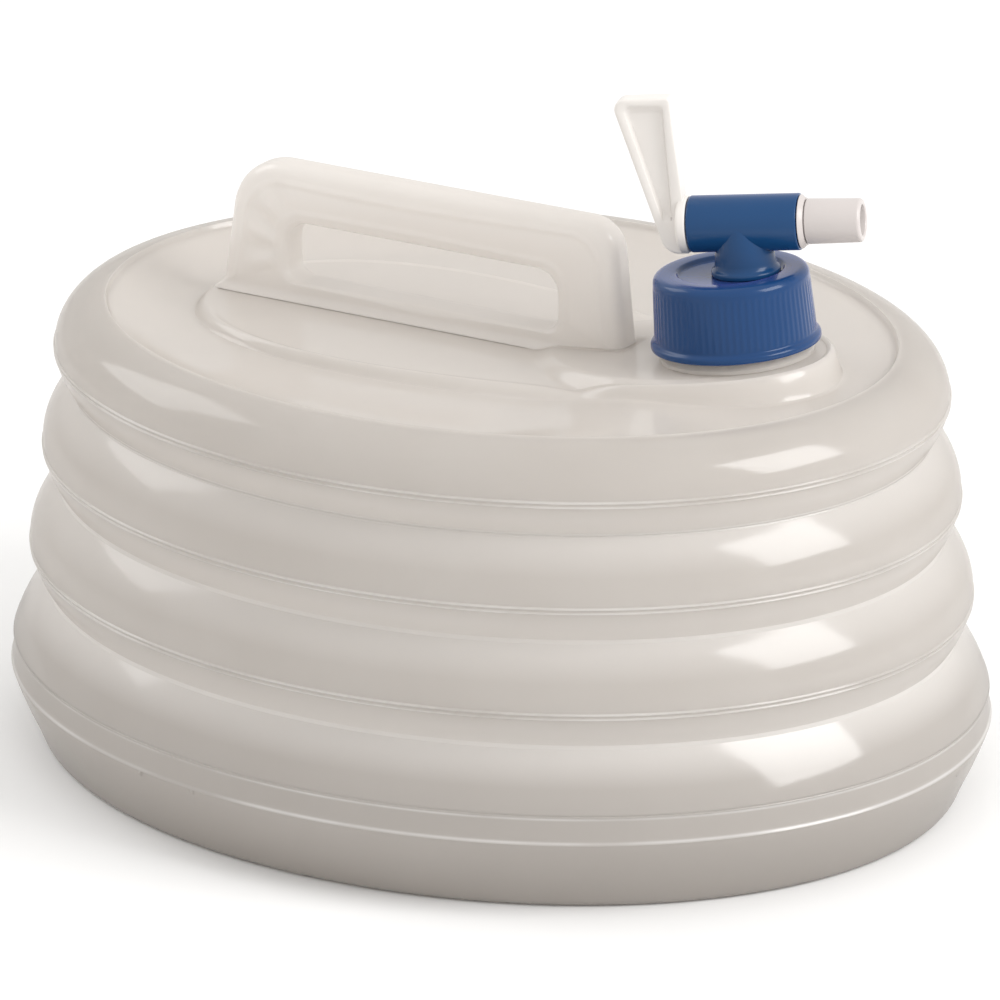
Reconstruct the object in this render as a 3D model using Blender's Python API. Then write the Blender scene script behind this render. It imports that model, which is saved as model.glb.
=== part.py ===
"""Collapsible water carrier.

A bellows-sided polyethylene container with an oval plan, a moulded carry
handle, a leaning filler neck, and a blue screw cap that carries a lever tap.
Metres, +Z up.  The origin is the middle of the floor the carrier stands on.
The long axis is X: the handle stands along it and the cap is at its +X end.
"""
import math

import bmesh
import bpy
from mathutils import Matrix, Vector

for old in list(bpy.data.objects):
    bpy.data.objects.remove(old, do_unlink=True)

# Container, outside, at its widest rim
BODY_LENGTH = 0.368
BODY_WIDTH = 0.305
WALL = 0.0013

# Base pan: flat foot, drawn-in wall and the upright rim band
RIM_LOW = 0.0275
RIM_BAND = 0.0105
RIM_DRAFT = 0.0010
BASE_DRAW_IN = 0.0100
FOOT_RADIUS = 0.0045
FOOT_WIDTH = 0.016
PANEL_RISE = 0.003
PANEL_SLOPE = 0.007

# Folds: sharp narrow grooves between broad rounded rings, each ring smaller than the one below
LOWER_FOLD_RISE = 0.0210
GROOVE_PITCH = 0.0370
FOLD_STEP_IN = 0.0050
GROOVE_DEPTH = 0.0098
GROOVE_BAND = 0.0016
FOLD_BULGE = 0.0074
LOWER_FOLD_BULGE = 0.0012

# Top shell: rolled shoulder, dished deck and the plinth below the handle
SHOULDER_RISE = 0.0313
SHOULDER_ROLL = 0.0151
SHOULDER_LIP = 0.0065
LIP_DROP = 0.0028
DECK_DROP = 0.0095
DECK_SLOPE = 0.020
PLINTH_INSET_LEFT = 0.065
PLINTH_INSET_RIGHT = 0.105
PLINTH_WIDTH = 0.108
PLINTH_RISE = 0.0035
PLINTH_DRAFT = 0.0030

# Neck boss, an oval step whose top leans with the neck
NECK_INSET = 0.0877
BOSS_RISE = 0.0132
BOSS_LENGTH = 0.108
BOSS_END_MARGIN = 0.0057
BOSS_SIDE_MARGIN = 0.0115
BOSS_DRAFT = 0.0035
NECK_LEAN = math.radians(6.0)

# Filler neck and its thread
NECK_RADIUS = 0.0235
NECK_WALL = 0.0035
NECK_HEIGHT = 0.0243
NECK_FOOT_SPREAD = 0.0040
NECK_FOOT_HEIGHT = 0.0025
THREAD_PITCH = 0.0050
THREAD_DEPTH = 0.0015
THREAD_WIDTH = 0.0018
THREAD_TURNS = 1.75
THREAD_MARGIN = 0.00355

# Carry handle, a plate that stands along X
HANDLE_INSET_LEFT = 0.0690
HANDLE_SETBACK = 0.0396
HANDLE_RISE = 0.0504
HANDLE_LEAN_LEFT = 0.0095
HANDLE_LEAN_RIGHT = 0.0079
HANDLE_THICKNESS = 0.0140
HANDLE_EDGE_ROUND = 0.0050
HANDLE_LEFT_RADIUS = 0.0210
HANDLE_RIGHT_RADIUS = 0.0130
HANDLE_BURIED = 0.0160
SLOT_INSET_LEFT = 0.0300
SLOT_INSET_RIGHT = 0.0298
SLOT_RISE = 0.0066
SLOT_HEIGHT = 0.0227
SLOT_RADIUS = 0.0060

# Screw cap
CAP_WALL = 0.0018
CAP_DRAFT = 0.0010
CAP_FLANGE_WIDTH = 0.0015
CAP_FLANGE_HEIGHT = 0.0030
CAP_ROOF = 0.0040
CAP_STANDOFF = 0.0044
CAP_EDGE_ROUND = 0.0030
CAP_RECESS_MARGIN = 0.0013
CAP_RECESS_DEPTH = 0.0015
THREAD_CLEARANCE = 0.0007
GASKET_THICKNESS = 0.0020

# Tap: body seated in the cap's recess, core through its barrel, lever outside
TAP_TURN = math.radians(17.4)
TAP_OFFSET = 0.0056
BARREL_LENGTH = 0.0391
BARREL_SHIFT = 0.0012
BARREL_WALL = 0.0027
BARREL_RISE = 0.0166
BARREL_CHAMFER = 0.0010
COLUMN_STEP = 0.0027
TAP_FOOT_SPREAD = 0.0023
TAP_FOOT_HEIGHT = 0.0016
STEM_WALL = 0.0032
STEM_LENGTH = 0.0120
WATERWAY_RADIUS = 0.0040
CORE_WALL = 0.0011
SEAL_THICKNESS = 0.0012
SEAL_WIDTH = 0.0030
SEAL_MARGIN = 0.0006
NUT_WALL = 0.00275
NUT_HEIGHT = 0.0045
SPOUT_STEP = 0.0010
SPOUT_WALL = 0.0026
SPOUT_TAPER = 0.0003
SPOUT_LENGTH = 0.0223
SPOUT_ROUND = 0.0012
COLLAR_STEP = 0.0003
COLLAR_WIDTH = 0.0020
PORT_RADIUS = 0.0032
RING_SECTION = 0.0016
RING_PLACE = 0.0105
KEY_WIDTH = 0.0070
KEY_LENGTH = 0.0060
HUB_WALL = 0.0032
LEVER_RISE = 0.0465
LEVER_DROP = 0.0060
LEVER_REACH = 0.0242
LEVER_LEAN = 0.0027
LEVER_THICKNESS = 0.0074
LEVER_RIM = 0.0024
LEVER_RECESS = 0.0022
LEVER_ROUND = 0.0012

# Fits and fineness
FIT_GAP = 0.0003
CUT_OVERRUN = 0.0010
MERGE_DISTANCE = 0.000001
OVAL_STEPS = 40
ROUND_STEPS = 24
ARC_STEPS = 6
CORNER_STEPS = 4
RING_SIDES = 6
THREAD_STEPS = 20

# Levels worked out from the sizes above
half_length = BODY_LENGTH / 2
half_width = BODY_WIDTH / 2
rim_top = RIM_LOW + RIM_BAND
groove_levels = [rim_top + LOWER_FOLD_RISE + GROOVE_PITCH * step for step in range(3)]
crest_level = groove_levels[-1] + SHOULDER_RISE
deck_level = crest_level - DECK_DROP
plinth_level = deck_level + PLINTH_RISE

# Places and sizes that follow from the ones above
neck_x = half_length - NECK_INSET
neck_foot_radius = NECK_RADIUS + NECK_FOOT_SPREAD
mouth_radius = NECK_RADIUS - NECK_WALL
boss_level = deck_level + BOSS_RISE
boss_x = neck_x + neck_foot_radius + BOSS_END_MARGIN - BOSS_LENGTH / 2
boss_width = 2 * (neck_foot_radius + BOSS_SIDE_MARGIN)
plinth_left = PLINTH_INSET_LEFT - half_length
plinth_right = half_length - PLINTH_INSET_RIGHT
plinth_x = (plinth_left + plinth_right) / 2
plinth_length = plinth_right - plinth_left
handle_left = HANDLE_INSET_LEFT - half_length
handle_right = neck_x - HANDLE_SETBACK
handle_top = plinth_level + HANDLE_RISE
neck_thread_start = NECK_HEIGHT - THREAD_MARGIN - THREAD_PITCH * THREAD_TURNS


def make_material(name, colour, roughness, alpha=1.0):
    """A plain moulded-plastic finish."""
    material = bpy.data.materials.new(name)
    material.use_nodes = True
    shader = material.node_tree.nodes["Principled BSDF"]
    shader.inputs["Base Color"].default_value = (*colour, 1.0)
    shader.inputs["Roughness"].default_value = roughness
    shader.inputs["Metallic"].default_value = 0.0
    shader.inputs["Alpha"].default_value = alpha
    return material


milky_plastic = make_material("milky_polyethylene", (0.78, 0.75, 0.72), 0.34, 0.8)
handle_plastic = make_material("handle_polyethylene", (0.82, 0.79, 0.75), 0.36, 0.85)
blue_plastic = make_material("cap_blue", (0.03, 0.08, 0.25), 0.30)
tap_blue_plastic = make_material("tap_blue", (0.03, 0.09, 0.24), 0.32)
white_plastic = make_material("tap_white", (0.80, 0.77, 0.73), 0.38)
gasket_rubber = make_material("gasket_foam", (0.85, 0.85, 0.82), 0.75)
ring_rubber = make_material("ring_rubber", (0.04, 0.04, 0.04), 0.60)


def add_object(name, bm, material=None, parent=None):
    """Turn a bmesh into a named object with its faces pointing out."""
    bmesh.ops.remove_doubles(bm, verts=bm.verts, dist=MERGE_DISTANCE)
    bmesh.ops.recalc_face_normals(bm, faces=bm.faces)
    mesh = bpy.data.meshes.new(name)
    bm.to_mesh(mesh)
    bm.free()
    mesh.shade_smooth()
    mesh.set_sharp_from_angle(angle=math.radians(35))
    piece = bpy.data.objects.new(name, mesh)
    bpy.context.scene.collection.objects.link(piece)
    if material:
        mesh.materials.append(material)
    piece.parent = parent
    return piece


def add_guide(name, bm, parent=None):
    """A shape that only cuts or joins another, so it is left out itself."""
    guide = add_object(name, bm, parent=parent)
    guide.hide_render = True
    guide.display_type = "WIRE"
    return guide


def combine(piece, guide, operation):
    """Join a guide to a piece, or cut the piece with it."""
    boolean = piece.modifiers.new(guide.name, "BOOLEAN")
    boolean.operation = operation
    boolean.solver = "EXACT"
    boolean.object = guide


def add_empty(name, matrix, parent=None):
    empty = bpy.data.objects.new(name, None)
    bpy.context.scene.collection.objects.link(empty)
    empty.parent = parent
    empty.matrix_local = matrix
    return empty


def oval_loop(bm, length, width, height, centre_x=0.0, placing=None):
    """A closed ring of points on an oval of the given half axes."""
    placing = placing or Matrix.Identity(4)
    place = placing @ Matrix.Translation((centre_x, 0, height)) @ Matrix.Diagonal((length, width, 1, 1))
    return bmesh.ops.create_circle(bm, segments=OVAL_STEPS, radius=1, matrix=place)["verts"]


def loft(bm, loops, endless):
    """Skin a run of rings, either into a tube closed on itself or with both ends filled."""
    pairs = list(zip(loops, loops[1:]))
    if endless:
        pairs.append((loops[-1], loops[0]))
    else:
        bm.faces.new(loops[0])
        bm.faces.new(loops[-1])
    for low, high in pairs:
        for corners in zip(low, low[1:] + low[:1], high[1:] + high[:1], high):
            bm.faces.new(corners)


def inner_side(stations, wall):
    """The stations of a wall's inner side, set in square to the outer side, ends cut level."""
    count = len(stations)
    normals = []
    for low, high in zip(stations, stations[1:]):
        run, rise = high[0] - low[0], high[2] - low[2]
        size = math.hypot(run, rise) or 1
        normals.append((rise / size, -run / size))
    inner = []
    for index, (length, width, height, *centre) in enumerate(stations):
        before = normals[max(index - 1, 0)]
        after = normals[min(index, count - 2)]
        spread = 1 + before[0] * after[0] + before[1] * after[1]
        side = (before[0] + after[0]) / spread
        up = (before[1] + after[1]) / spread
        inner.append([length - wall * side, width - wall * side, height - wall * up, *centre])
    inner[0][2] = stations[0][2]
    inner[-1][2] = stations[-1][2]
    return inner


def envelope(height):
    """How far the folds' widest line has drawn in at a height."""
    return FOLD_STEP_IN * max(height - rim_top, 0) / GROOVE_PITCH


def station(inset, height):
    """A ring of the container at an inset from its widest rim."""
    return (half_length - inset, half_width - inset, height)


def fold_stations(low, high, low_depth, high_depth, bulge, low_band, high_band):
    """The outer side of one fold, from the groove below it to the groove above it."""
    start, end = low + low_band, high - high_band
    run = [(low_depth, low)] if low_band else []
    for step in range(ARC_STEPS + 1):
        share = step / ARC_STEPS
        depth = low_depth + (high_depth - low_depth) * share - 4 * share * (1 - share) * bulge
        run.append((depth, start + (end - start) * share))
    if high_band:
        run.append((high_depth, high))
    return [station(envelope(height) + depth, height) for depth, height in run]


def build_base_pan():
    foot = BASE_DRAW_IN + FOOT_RADIUS
    panel = foot + FOOT_WIDTH
    outer = [station(panel + PANEL_SLOPE * 3, PANEL_RISE),
             station(panel + PANEL_SLOPE, PANEL_RISE),
             station(panel, 0),
             station(foot, 0)]
    for step in range(1, CORNER_STEPS + 1):
        turn = math.radians(68) * step / CORNER_STEPS
        outer.append(station(foot - FOOT_RADIUS * math.sin(turn), FOOT_RADIUS * (1 - math.cos(turn))))
    outer += [station(0, RIM_LOW), station(RIM_DRAFT, rim_top)]
    inner = inner_side(outer, WALL)
    inner[0][2] = PANEL_RISE + WALL
    bm = bmesh.new()
    loops = [oval_loop(bm, *ring) for ring in outer + inner[::-1]]
    loft(bm, loops, endless=False)
    return add_object("base_pan", bm, milky_plastic)


def build_fold(name, low, high, low_depth, bulge, low_band):
    outer = fold_stations(low + FIT_GAP, high, low_depth, GROOVE_DEPTH, bulge, low_band, GROOVE_BAND / 2)
    inner = inner_side(outer, WALL)
    bm = bmesh.new()
    loops = [oval_loop(bm, *ring) for ring in outer + inner[::-1]]
    loft(bm, loops, endless=True)
    return add_object(name, bm, milky_plastic)


def shoulder_stations():
    """The top fold's outer side: out of the groove, round the shoulder and on to the deck."""
    low = groove_levels[-1] + FIT_GAP
    start = low + GROOVE_BAND / 2
    middle = (start + crest_level) / 2
    crest_depth = GROOVE_DEPTH - FOLD_BULGE
    run = [(GROOVE_DEPTH, low)]
    for step in range(ARC_STEPS // 2 + 1):
        share = step / ARC_STEPS
        run.append((GROOVE_DEPTH - 4 * share * (1 - share) * FOLD_BULGE, start + (crest_level - start) * share))
    for step in range(1, ARC_STEPS + 1):
        turn = math.pi / 2 * step / ARC_STEPS
        run.append((crest_depth + SHOULDER_ROLL * (1 - math.cos(turn)),
                    middle + (crest_level - middle) * math.sin(turn)))
    lip = crest_depth + SHOULDER_ROLL + SHOULDER_LIP
    run.append((lip, crest_level - LIP_DROP))
    rings = [station(envelope(height) + depth, height) for depth, height in run]
    deck = envelope(crest_level) + lip + DECK_SLOPE
    rings.append(station(deck, deck_level))
    length, width = plinth_length / 2, PLINTH_WIDTH / 2
    rings.append((length, width, deck_level, plinth_x))
    rings.append((length - PLINTH_DRAFT, width - PLINTH_DRAFT, plinth_level, plinth_x))
    return rings


def boss_block(name, growth, foot_level):
    """The neck boss as a solid: level at the deck, leaning at the top, grown by a clearance."""
    bm = bmesh.new()
    top_length, top_width = BOSS_LENGTH / 2 + growth, boss_width / 2 + growth
    foot = oval_loop(bm, top_length + BOSS_DRAFT, top_width + BOSS_DRAFT, foot_level, boss_x)
    top = oval_loop(bm, top_length, top_width, growth, boss_x - neck_x, placing=neck_frame)
    loft(bm, [foot, top], endless=False)
    return add_guide(name, bm)


neck_frame = Matrix.Translation((neck_x, 0, boss_level)) @ Matrix.Rotation(-NECK_LEAN, 4, "Y")
neck_axis = add_empty("neck_axis", neck_frame)


def turned(profile, steps=ROUND_STEPS, centre_x=0.0):
    """Spin a closed outline of (radius, height) points about its upright axis."""
    bm = bmesh.new()
    verts = [bm.verts.new((radius, 0, height)) for radius, height in profile]
    edges = [bm.edges.new(pair) for pair in zip(verts, verts[1:] + verts[:1])]
    bmesh.ops.spin(bm, geom=verts + edges, cent=(0, 0, 0), axis=(0, 0, 1), angle=2 * math.pi,
                   steps=steps, use_merge=True)
    bmesh.ops.remove_doubles(bm, verts=bm.verts, dist=MERGE_DISTANCE)
    loose = [edge for edge in bm.edges if not edge.link_faces]
    bmesh.ops.delete(bm, geom=loose, context="EDGES")
    bmesh.ops.translate(bm, verts=bm.verts, vec=(centre_x, 0, 0))
    return bm


def rod(radius, low, high, steps=ROUND_STEPS):
    """A plain round bar along Z."""
    return turned([(0, low), (radius, low), (radius, high), (0, high)], steps)


def along_x(bm):
    """Lay a shape turned about Z along X, so that its high end points to +X."""
    bmesh.ops.rotate(bm, verts=bm.verts, cent=(0, 0, 0), matrix=Matrix.Rotation(math.pi / 2, 3, "Y"))
    return bm


def thread_ridge(root, crest, start):
    """A helical ridge between two radii, its ends closed, buried a little in its wall."""
    bm = bmesh.new()
    half = THREAD_WIDTH / 2
    section = [(root, -half), (crest, -half / 2), (crest, half / 2), (root, half)]
    steps = round(THREAD_STEPS * THREAD_TURNS)
    previous = None
    for step in range(steps + 1):
        turn = 2 * math.pi * THREAD_TURNS * step / steps
        height = start + THREAD_PITCH * THREAD_TURNS * step / steps
        verts = [bm.verts.new((radius * math.cos(turn), radius * math.sin(turn), height + level))
                 for radius, level in section]
        if previous:
            for index in range(len(section)):
                after = (index + 1) % len(section)
                bm.faces.new((previous[index], previous[after], verts[after], verts[index]))
        else:
            bm.faces.new(verts)
        previous = verts
    bm.faces.new(previous)
    return bm


def build_top_shell():
    outer = shoulder_stations()
    inner = inner_side(outer, WALL)
    inner[-1][2] = plinth_level - WALL
    bm = bmesh.new()
    loops = [oval_loop(bm, *ring) for ring in inner[::-1] + outer]
    loft(bm, loops, endless=False)
    shell = add_object("top_shell", bm, milky_plastic)
    combine(shell, boss_block("boss_outside", 0.0, deck_level - WALL / 2), "UNION")
    combine(shell, boss_block("boss_inside", -WALL, deck_level - 2 * WALL), "DIFFERENCE")
    mouth = rod(mouth_radius, -BOSS_LENGTH / 2, CUT_OVERRUN)
    combine(shell, add_guide("mouth_cutter", mouth, neck_axis), "DIFFERENCE")
    return shell


def build_filler_neck():
    profile = [(mouth_radius, FIT_GAP), (neck_foot_radius, FIT_GAP),
               (neck_foot_radius, FIT_GAP + NECK_FOOT_HEIGHT / 2),
               (NECK_RADIUS, FIT_GAP + NECK_FOOT_HEIGHT * 2),
               (NECK_RADIUS, NECK_HEIGHT), (mouth_radius, NECK_HEIGHT)]
    neck = add_object("filler_neck", turned(profile, THREAD_STEPS * 2), milky_plastic, neck_axis)
    ridge = thread_ridge(NECK_RADIUS - THREAD_DEPTH / 4, NECK_RADIUS + THREAD_DEPTH, neck_thread_start)
    combine(neck, add_guide("neck_thread", ridge, neck_axis), "UNION")
    return neck


def rounded_quad(corners, radii):
    """Corner points of a four-sided outline, each corner an arc tangent to its two sides."""
    points = []
    for index, corner in enumerate(corners):
        here = Vector(corner)
        back = (Vector(corners[index - 1]) - here).normalized()
        ahead = (Vector(corners[(index + 1) % len(corners)]) - here).normalized()
        half_angle = back.angle(ahead) / 2
        centre = here + (back + ahead).normalized() * radii[index] / math.sin(half_angle)
        first = here + back * radii[index] / math.tan(half_angle)
        last = here + ahead * radii[index] / math.tan(half_angle)
        for step in range(CORNER_STEPS + 1):
            spoke = (first - centre).slerp(last - centre, step / CORNER_STEPS)
            points.append(centre + spoke.normalized() * radii[index])
    return points


def plate(points, thickness):
    """A flat plate across Y, cut to an outline in the XZ plane."""
    bm = bmesh.new()
    near = [bm.verts.new((point.x, -thickness / 2, point.y)) for point in points]
    far = [bm.verts.new((point.x, thickness / 2, point.y)) for point in points]
    loft(bm, [near, far], endless=False)
    return bm


def block(low, high):
    """A box between two opposite corners."""
    bm = bmesh.new()
    middle = [(first + second) / 2 for first, second in zip(low, high)]
    size = [second - first for first, second in zip(low, high)]
    bmesh.ops.create_cube(bm, size=1, matrix=Matrix.Translation(middle) @ Matrix.Diagonal((*size, 1)))
    return bm


def build_carry_handle():
    """A plate with a finger slot, its edges rounded, standing on the plinth and the boss."""
    foot = plinth_level + FIT_GAP
    buried = foot - HANDLE_BURIED
    outline = rounded_quad(
        [(handle_left, buried), (handle_right, buried),
         (handle_right - HANDLE_LEAN_RIGHT, handle_top), (handle_left + HANDLE_LEAN_LEFT, handle_top)],
        [HANDLE_RIGHT_RADIUS, HANDLE_RIGHT_RADIUS, HANDLE_RIGHT_RADIUS, HANDLE_LEFT_RADIUS])
    slot_left, slot_right = handle_left + SLOT_INSET_LEFT, handle_right - SLOT_INSET_RIGHT
    slot_low = plinth_level + SLOT_RISE
    slot_top = slot_low + SLOT_HEIGHT
    slot = rounded_quad(
        [(slot_left, slot_low), (slot_right, slot_low), (slot_right, slot_top), (slot_left, slot_top)],
        [SLOT_RADIUS] * 4)
    handle = add_object("carry_handle", plate(outline, HANDLE_THICKNESS), handle_plastic)
    combine(handle, add_guide("finger_slot", plate(slot, HANDLE_THICKNESS * 2)), "DIFFERENCE")
    edge = handle.modifiers.new("edge_round", "BEVEL")
    edge.width = HANDLE_EDGE_ROUND
    edge.segments = 3
    edge.limit_method = "ANGLE"
    edge.angle_limit = math.radians(60)
    ground = block((-half_length, -half_width, 0), (half_length, half_width, foot))
    combine(handle, add_guide("plinth_plane", ground), "DIFFERENCE")
    combine(handle, boss_block("handle_seat", FIT_GAP, deck_level - WALL), "DIFFERENCE")
    return handle


# Inside the cap, measured up from the boss
gasket_low = NECK_HEIGHT + FIT_GAP
gasket_top = gasket_low + GASKET_THICKNESS
cap_ceiling = gasket_top + FIT_GAP
cap_top = cap_ceiling + CAP_ROOF
recess_floor = cap_top - CAP_RECESS_DEPTH
cap_bore = NECK_RADIUS + THREAD_DEPTH + THREAD_CLEARANCE
cap_top_radius = cap_bore + CAP_WALL
cap_skirt_radius = cap_top_radius + CAP_DRAFT
cap_flange_radius = cap_skirt_radius + CAP_FLANGE_WIDTH
stem_radius = WATERWAY_RADIUS + STEM_WALL
column_radius = stem_radius + COLUMN_STEP
tap_foot_radius = column_radius + TAP_FOOT_SPREAD
cap_recess_radius = tap_foot_radius + TAP_OFFSET + CAP_RECESS_MARGIN
seal_radius = tap_foot_radius - SEAL_MARGIN


def build_screw_cap(parent):
    profile = [(0, cap_ceiling), (cap_bore, cap_ceiling), (cap_bore, CAP_STANDOFF + CAP_FLANGE_HEIGHT / 2),
               (neck_foot_radius + FIT_GAP, CAP_STANDOFF), (cap_flange_radius, CAP_STANDOFF),
               (cap_flange_radius, CAP_STANDOFF + CAP_FLANGE_HEIGHT * 0.7),
               (cap_skirt_radius, CAP_STANDOFF + CAP_FLANGE_HEIGHT)]
    for step in range(CORNER_STEPS + 1):
        turn = math.pi / 2 * step / CORNER_STEPS
        profile.append((cap_top_radius - CAP_EDGE_ROUND * (1 - math.cos(turn)),
                        cap_top - CAP_EDGE_ROUND * (1 - math.sin(turn))))
    profile += [(cap_recess_radius, cap_top), (cap_recess_radius - CAP_RECESS_DEPTH / 2, recess_floor),
                (0, recess_floor)]
    cap = add_object("screw_cap", turned(profile, THREAD_STEPS * 2), blue_plastic, parent)
    ridge = thread_ridge(cap_bore + THREAD_DEPTH / 4, cap_bore - THREAD_DEPTH,
                         neck_thread_start + THREAD_PITCH / 2 - THREAD_PITCH)
    combine(cap, add_guide("cap_thread", ridge, parent), "UNION")
    hole = rod(stem_radius + FIT_GAP, cap_ceiling - CUT_OVERRUN, cap_top)
    bmesh.ops.translate(hole, verts=hole.verts, vec=tap_foot_place)
    combine(cap, add_guide("stem_hole", hole, parent), "DIFFERENCE")
    return cap


def build_cap_gasket(parent):
    profile = [(mouth_radius, gasket_low), (cap_bore - FIT_GAP, gasket_low),
               (cap_bore - FIT_GAP, gasket_top), (mouth_radius, gasket_top)]
    return add_object("cap_gasket", turned(profile), gasket_rubber, parent)


# The tap's own frame: origin where its foot meets the seal, +X along the spout
tap_direction = Vector((math.cos(TAP_TURN), math.sin(TAP_TURN), 0))
tap_foot_place = tap_direction * TAP_OFFSET
foot_level = recess_floor + FIT_GAP + SEAL_THICKNESS + FIT_GAP
barrel_level = cap_top + BARREL_RISE
groove_floor = WATERWAY_RADIUS + CORE_WALL
barrel_bore = groove_floor + RING_SECTION + 2 * FIT_GAP
barrel_radius = barrel_bore + BARREL_WALL
core_radius = barrel_bore - FIT_GAP
spout_radius = core_radius + SPOUT_STEP
spout_end_radius = spout_radius - SPOUT_TAPER
spout_bore_radius = spout_radius - SPOUT_WALL
collar_radius = barrel_radius - COLLAR_STEP
barrel_left = BARREL_SHIFT - BARREL_LENGTH / 2
barrel_right = BARREL_SHIFT + BARREL_LENGTH / 2


def build_tap_body(parent):
    """Barrel, column, foot and hollow stem, one blue moulding."""
    low = -BARREL_LENGTH / 2
    barrel_profile = [(0, low), (barrel_radius - BARREL_CHAMFER, low), (barrel_radius, low + BARREL_CHAMFER),
                      (barrel_radius, -low), (0, -low)]
    barrel = along_x(turned(barrel_profile, ROUND_STEPS))
    bmesh.ops.translate(barrel, verts=barrel.verts, vec=(BARREL_SHIFT, 0, barrel_level))
    body = add_object("tap_body", barrel, tap_blue_plastic, parent)
    stem_low = cap_ceiling - STEM_LENGTH
    column = turned([(0, stem_low), (stem_radius, stem_low), (stem_radius, foot_level),
                     (tap_foot_radius, foot_level), (tap_foot_radius, foot_level + TAP_FOOT_HEIGHT),
                     (column_radius, foot_level + TAP_FOOT_HEIGHT * 1.5),
                     (column_radius, barrel_level), (0, barrel_level)])
    combine(body, add_guide("tap_column", column, parent), "UNION")
    waterway = rod(WATERWAY_RADIUS, stem_low - CUT_OVERRUN, barrel_level)
    combine(body, add_guide("waterway", waterway, parent), "DIFFERENCE")
    bore = along_x(rod(barrel_bore, low - CUT_OVERRUN, CUT_OVERRUN - low))
    bmesh.ops.translate(bore, verts=bore.verts, vec=(BARREL_SHIFT, 0, barrel_level))
    combine(body, add_guide("barrel_bore", bore, parent), "DIFFERENCE")
    return body


def build_tap_seal(parent):
    low = recess_floor + FIT_GAP
    profile = [(seal_radius - SEAL_WIDTH, low), (seal_radius, low),
               (seal_radius, low + SEAL_THICKNESS), (seal_radius - SEAL_WIDTH, low + SEAL_THICKNESS)]
    return add_object("tap_seal", turned(profile), ring_rubber, parent)


def build_tap_nut(parent):
    """Six-sided nut on the stem, against the inside of the cap."""
    high = cap_ceiling - FIT_GAP
    corner = 2 * (stem_radius + FIT_GAP + NUT_WALL) / math.sqrt(3)
    hexagon = turned([(0, high - NUT_HEIGHT), (corner, high - NUT_HEIGHT), (corner, high), (0, high)], 6)
    piece = add_object("tap_nut", hexagon, tap_blue_plastic, parent)
    hole = rod(stem_radius + FIT_GAP, high - NUT_HEIGHT - CUT_OVERRUN, high + CUT_OVERRUN)
    combine(piece, add_guide("nut_hole", hole, parent), "DIFFERENCE")
    return piece


groove_half = RING_SECTION / 2 + FIT_GAP
collar_place = barrel_right + FIT_GAP


def build_tap_core(parent):
    """Hollow plug through the barrel: spout outside, ring grooves, side port and square key."""
    left = barrel_left
    profile = [(0, left), (core_radius, left)]
    for place in (-RING_PLACE, RING_PLACE):
        profile += [(core_radius, place - groove_half), (groove_floor, place - groove_half),
                    (groove_floor, place + groove_half), (core_radius, place + groove_half)]
    mouth = collar_place + COLLAR_WIDTH + FIT_GAP
    tip = barrel_right + SPOUT_LENGTH
    profile += [(core_radius, mouth), (spout_radius, mouth), (spout_end_radius, tip - SPOUT_ROUND),
                (spout_end_radius - SPOUT_ROUND, tip), (0, tip)]
    core = add_object("tap_core", along_x(turned(profile)), white_plastic, parent)
    half_key = KEY_WIDTH / 2
    key = block((left - FIT_GAP - KEY_LENGTH, -half_key, -half_key),
                (left + CUT_OVERRUN, half_key, half_key))
    combine(core, add_guide("core_key", key, parent), "UNION")
    channel = along_x(rod(WATERWAY_RADIUS, -WATERWAY_RADIUS, mouth))
    cutter = add_guide("spout_channel", channel, parent)
    bore = along_x(rod(spout_bore_radius, collar_place, tip + CUT_OVERRUN, THREAD_STEPS))
    combine(cutter, add_guide("spout_bore", bore, parent), "UNION")
    port = rod(PORT_RADIUS, 0, barrel_radius, THREAD_STEPS)
    bmesh.ops.rotate(port, verts=port.verts, cent=(0, 0, 0), matrix=Matrix.Rotation(-math.pi / 2, 3, "X"))
    combine(cutter, add_guide("side_port", port, parent), "UNION")
    combine(core, cutter, "DIFFERENCE")
    return core


def build_core_ring(name, place, parent):
    """An O-ring in one of the core's grooves."""
    middle = groove_floor + FIT_GAP + RING_SECTION / 2
    profile = [(middle + RING_SECTION / 2 * math.cos(2 * math.pi * side / RING_SIDES),
                place + RING_SECTION / 2 * math.sin(2 * math.pi * side / RING_SIDES))
               for side in range(RING_SIDES)]
    return add_object(name, along_x(turned(profile, THREAD_STEPS)), ring_rubber, parent)


def build_core_collar(parent):
    """The white ring between the barrel's mouth and the spout."""
    far = collar_place + COLLAR_WIDTH
    profile = [(core_radius + FIT_GAP, collar_place), (collar_radius, collar_place),
               (collar_radius, far), (core_radius + FIT_GAP, far)]
    return add_object("core_collar", along_x(turned(profile)), white_plastic, parent)


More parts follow.
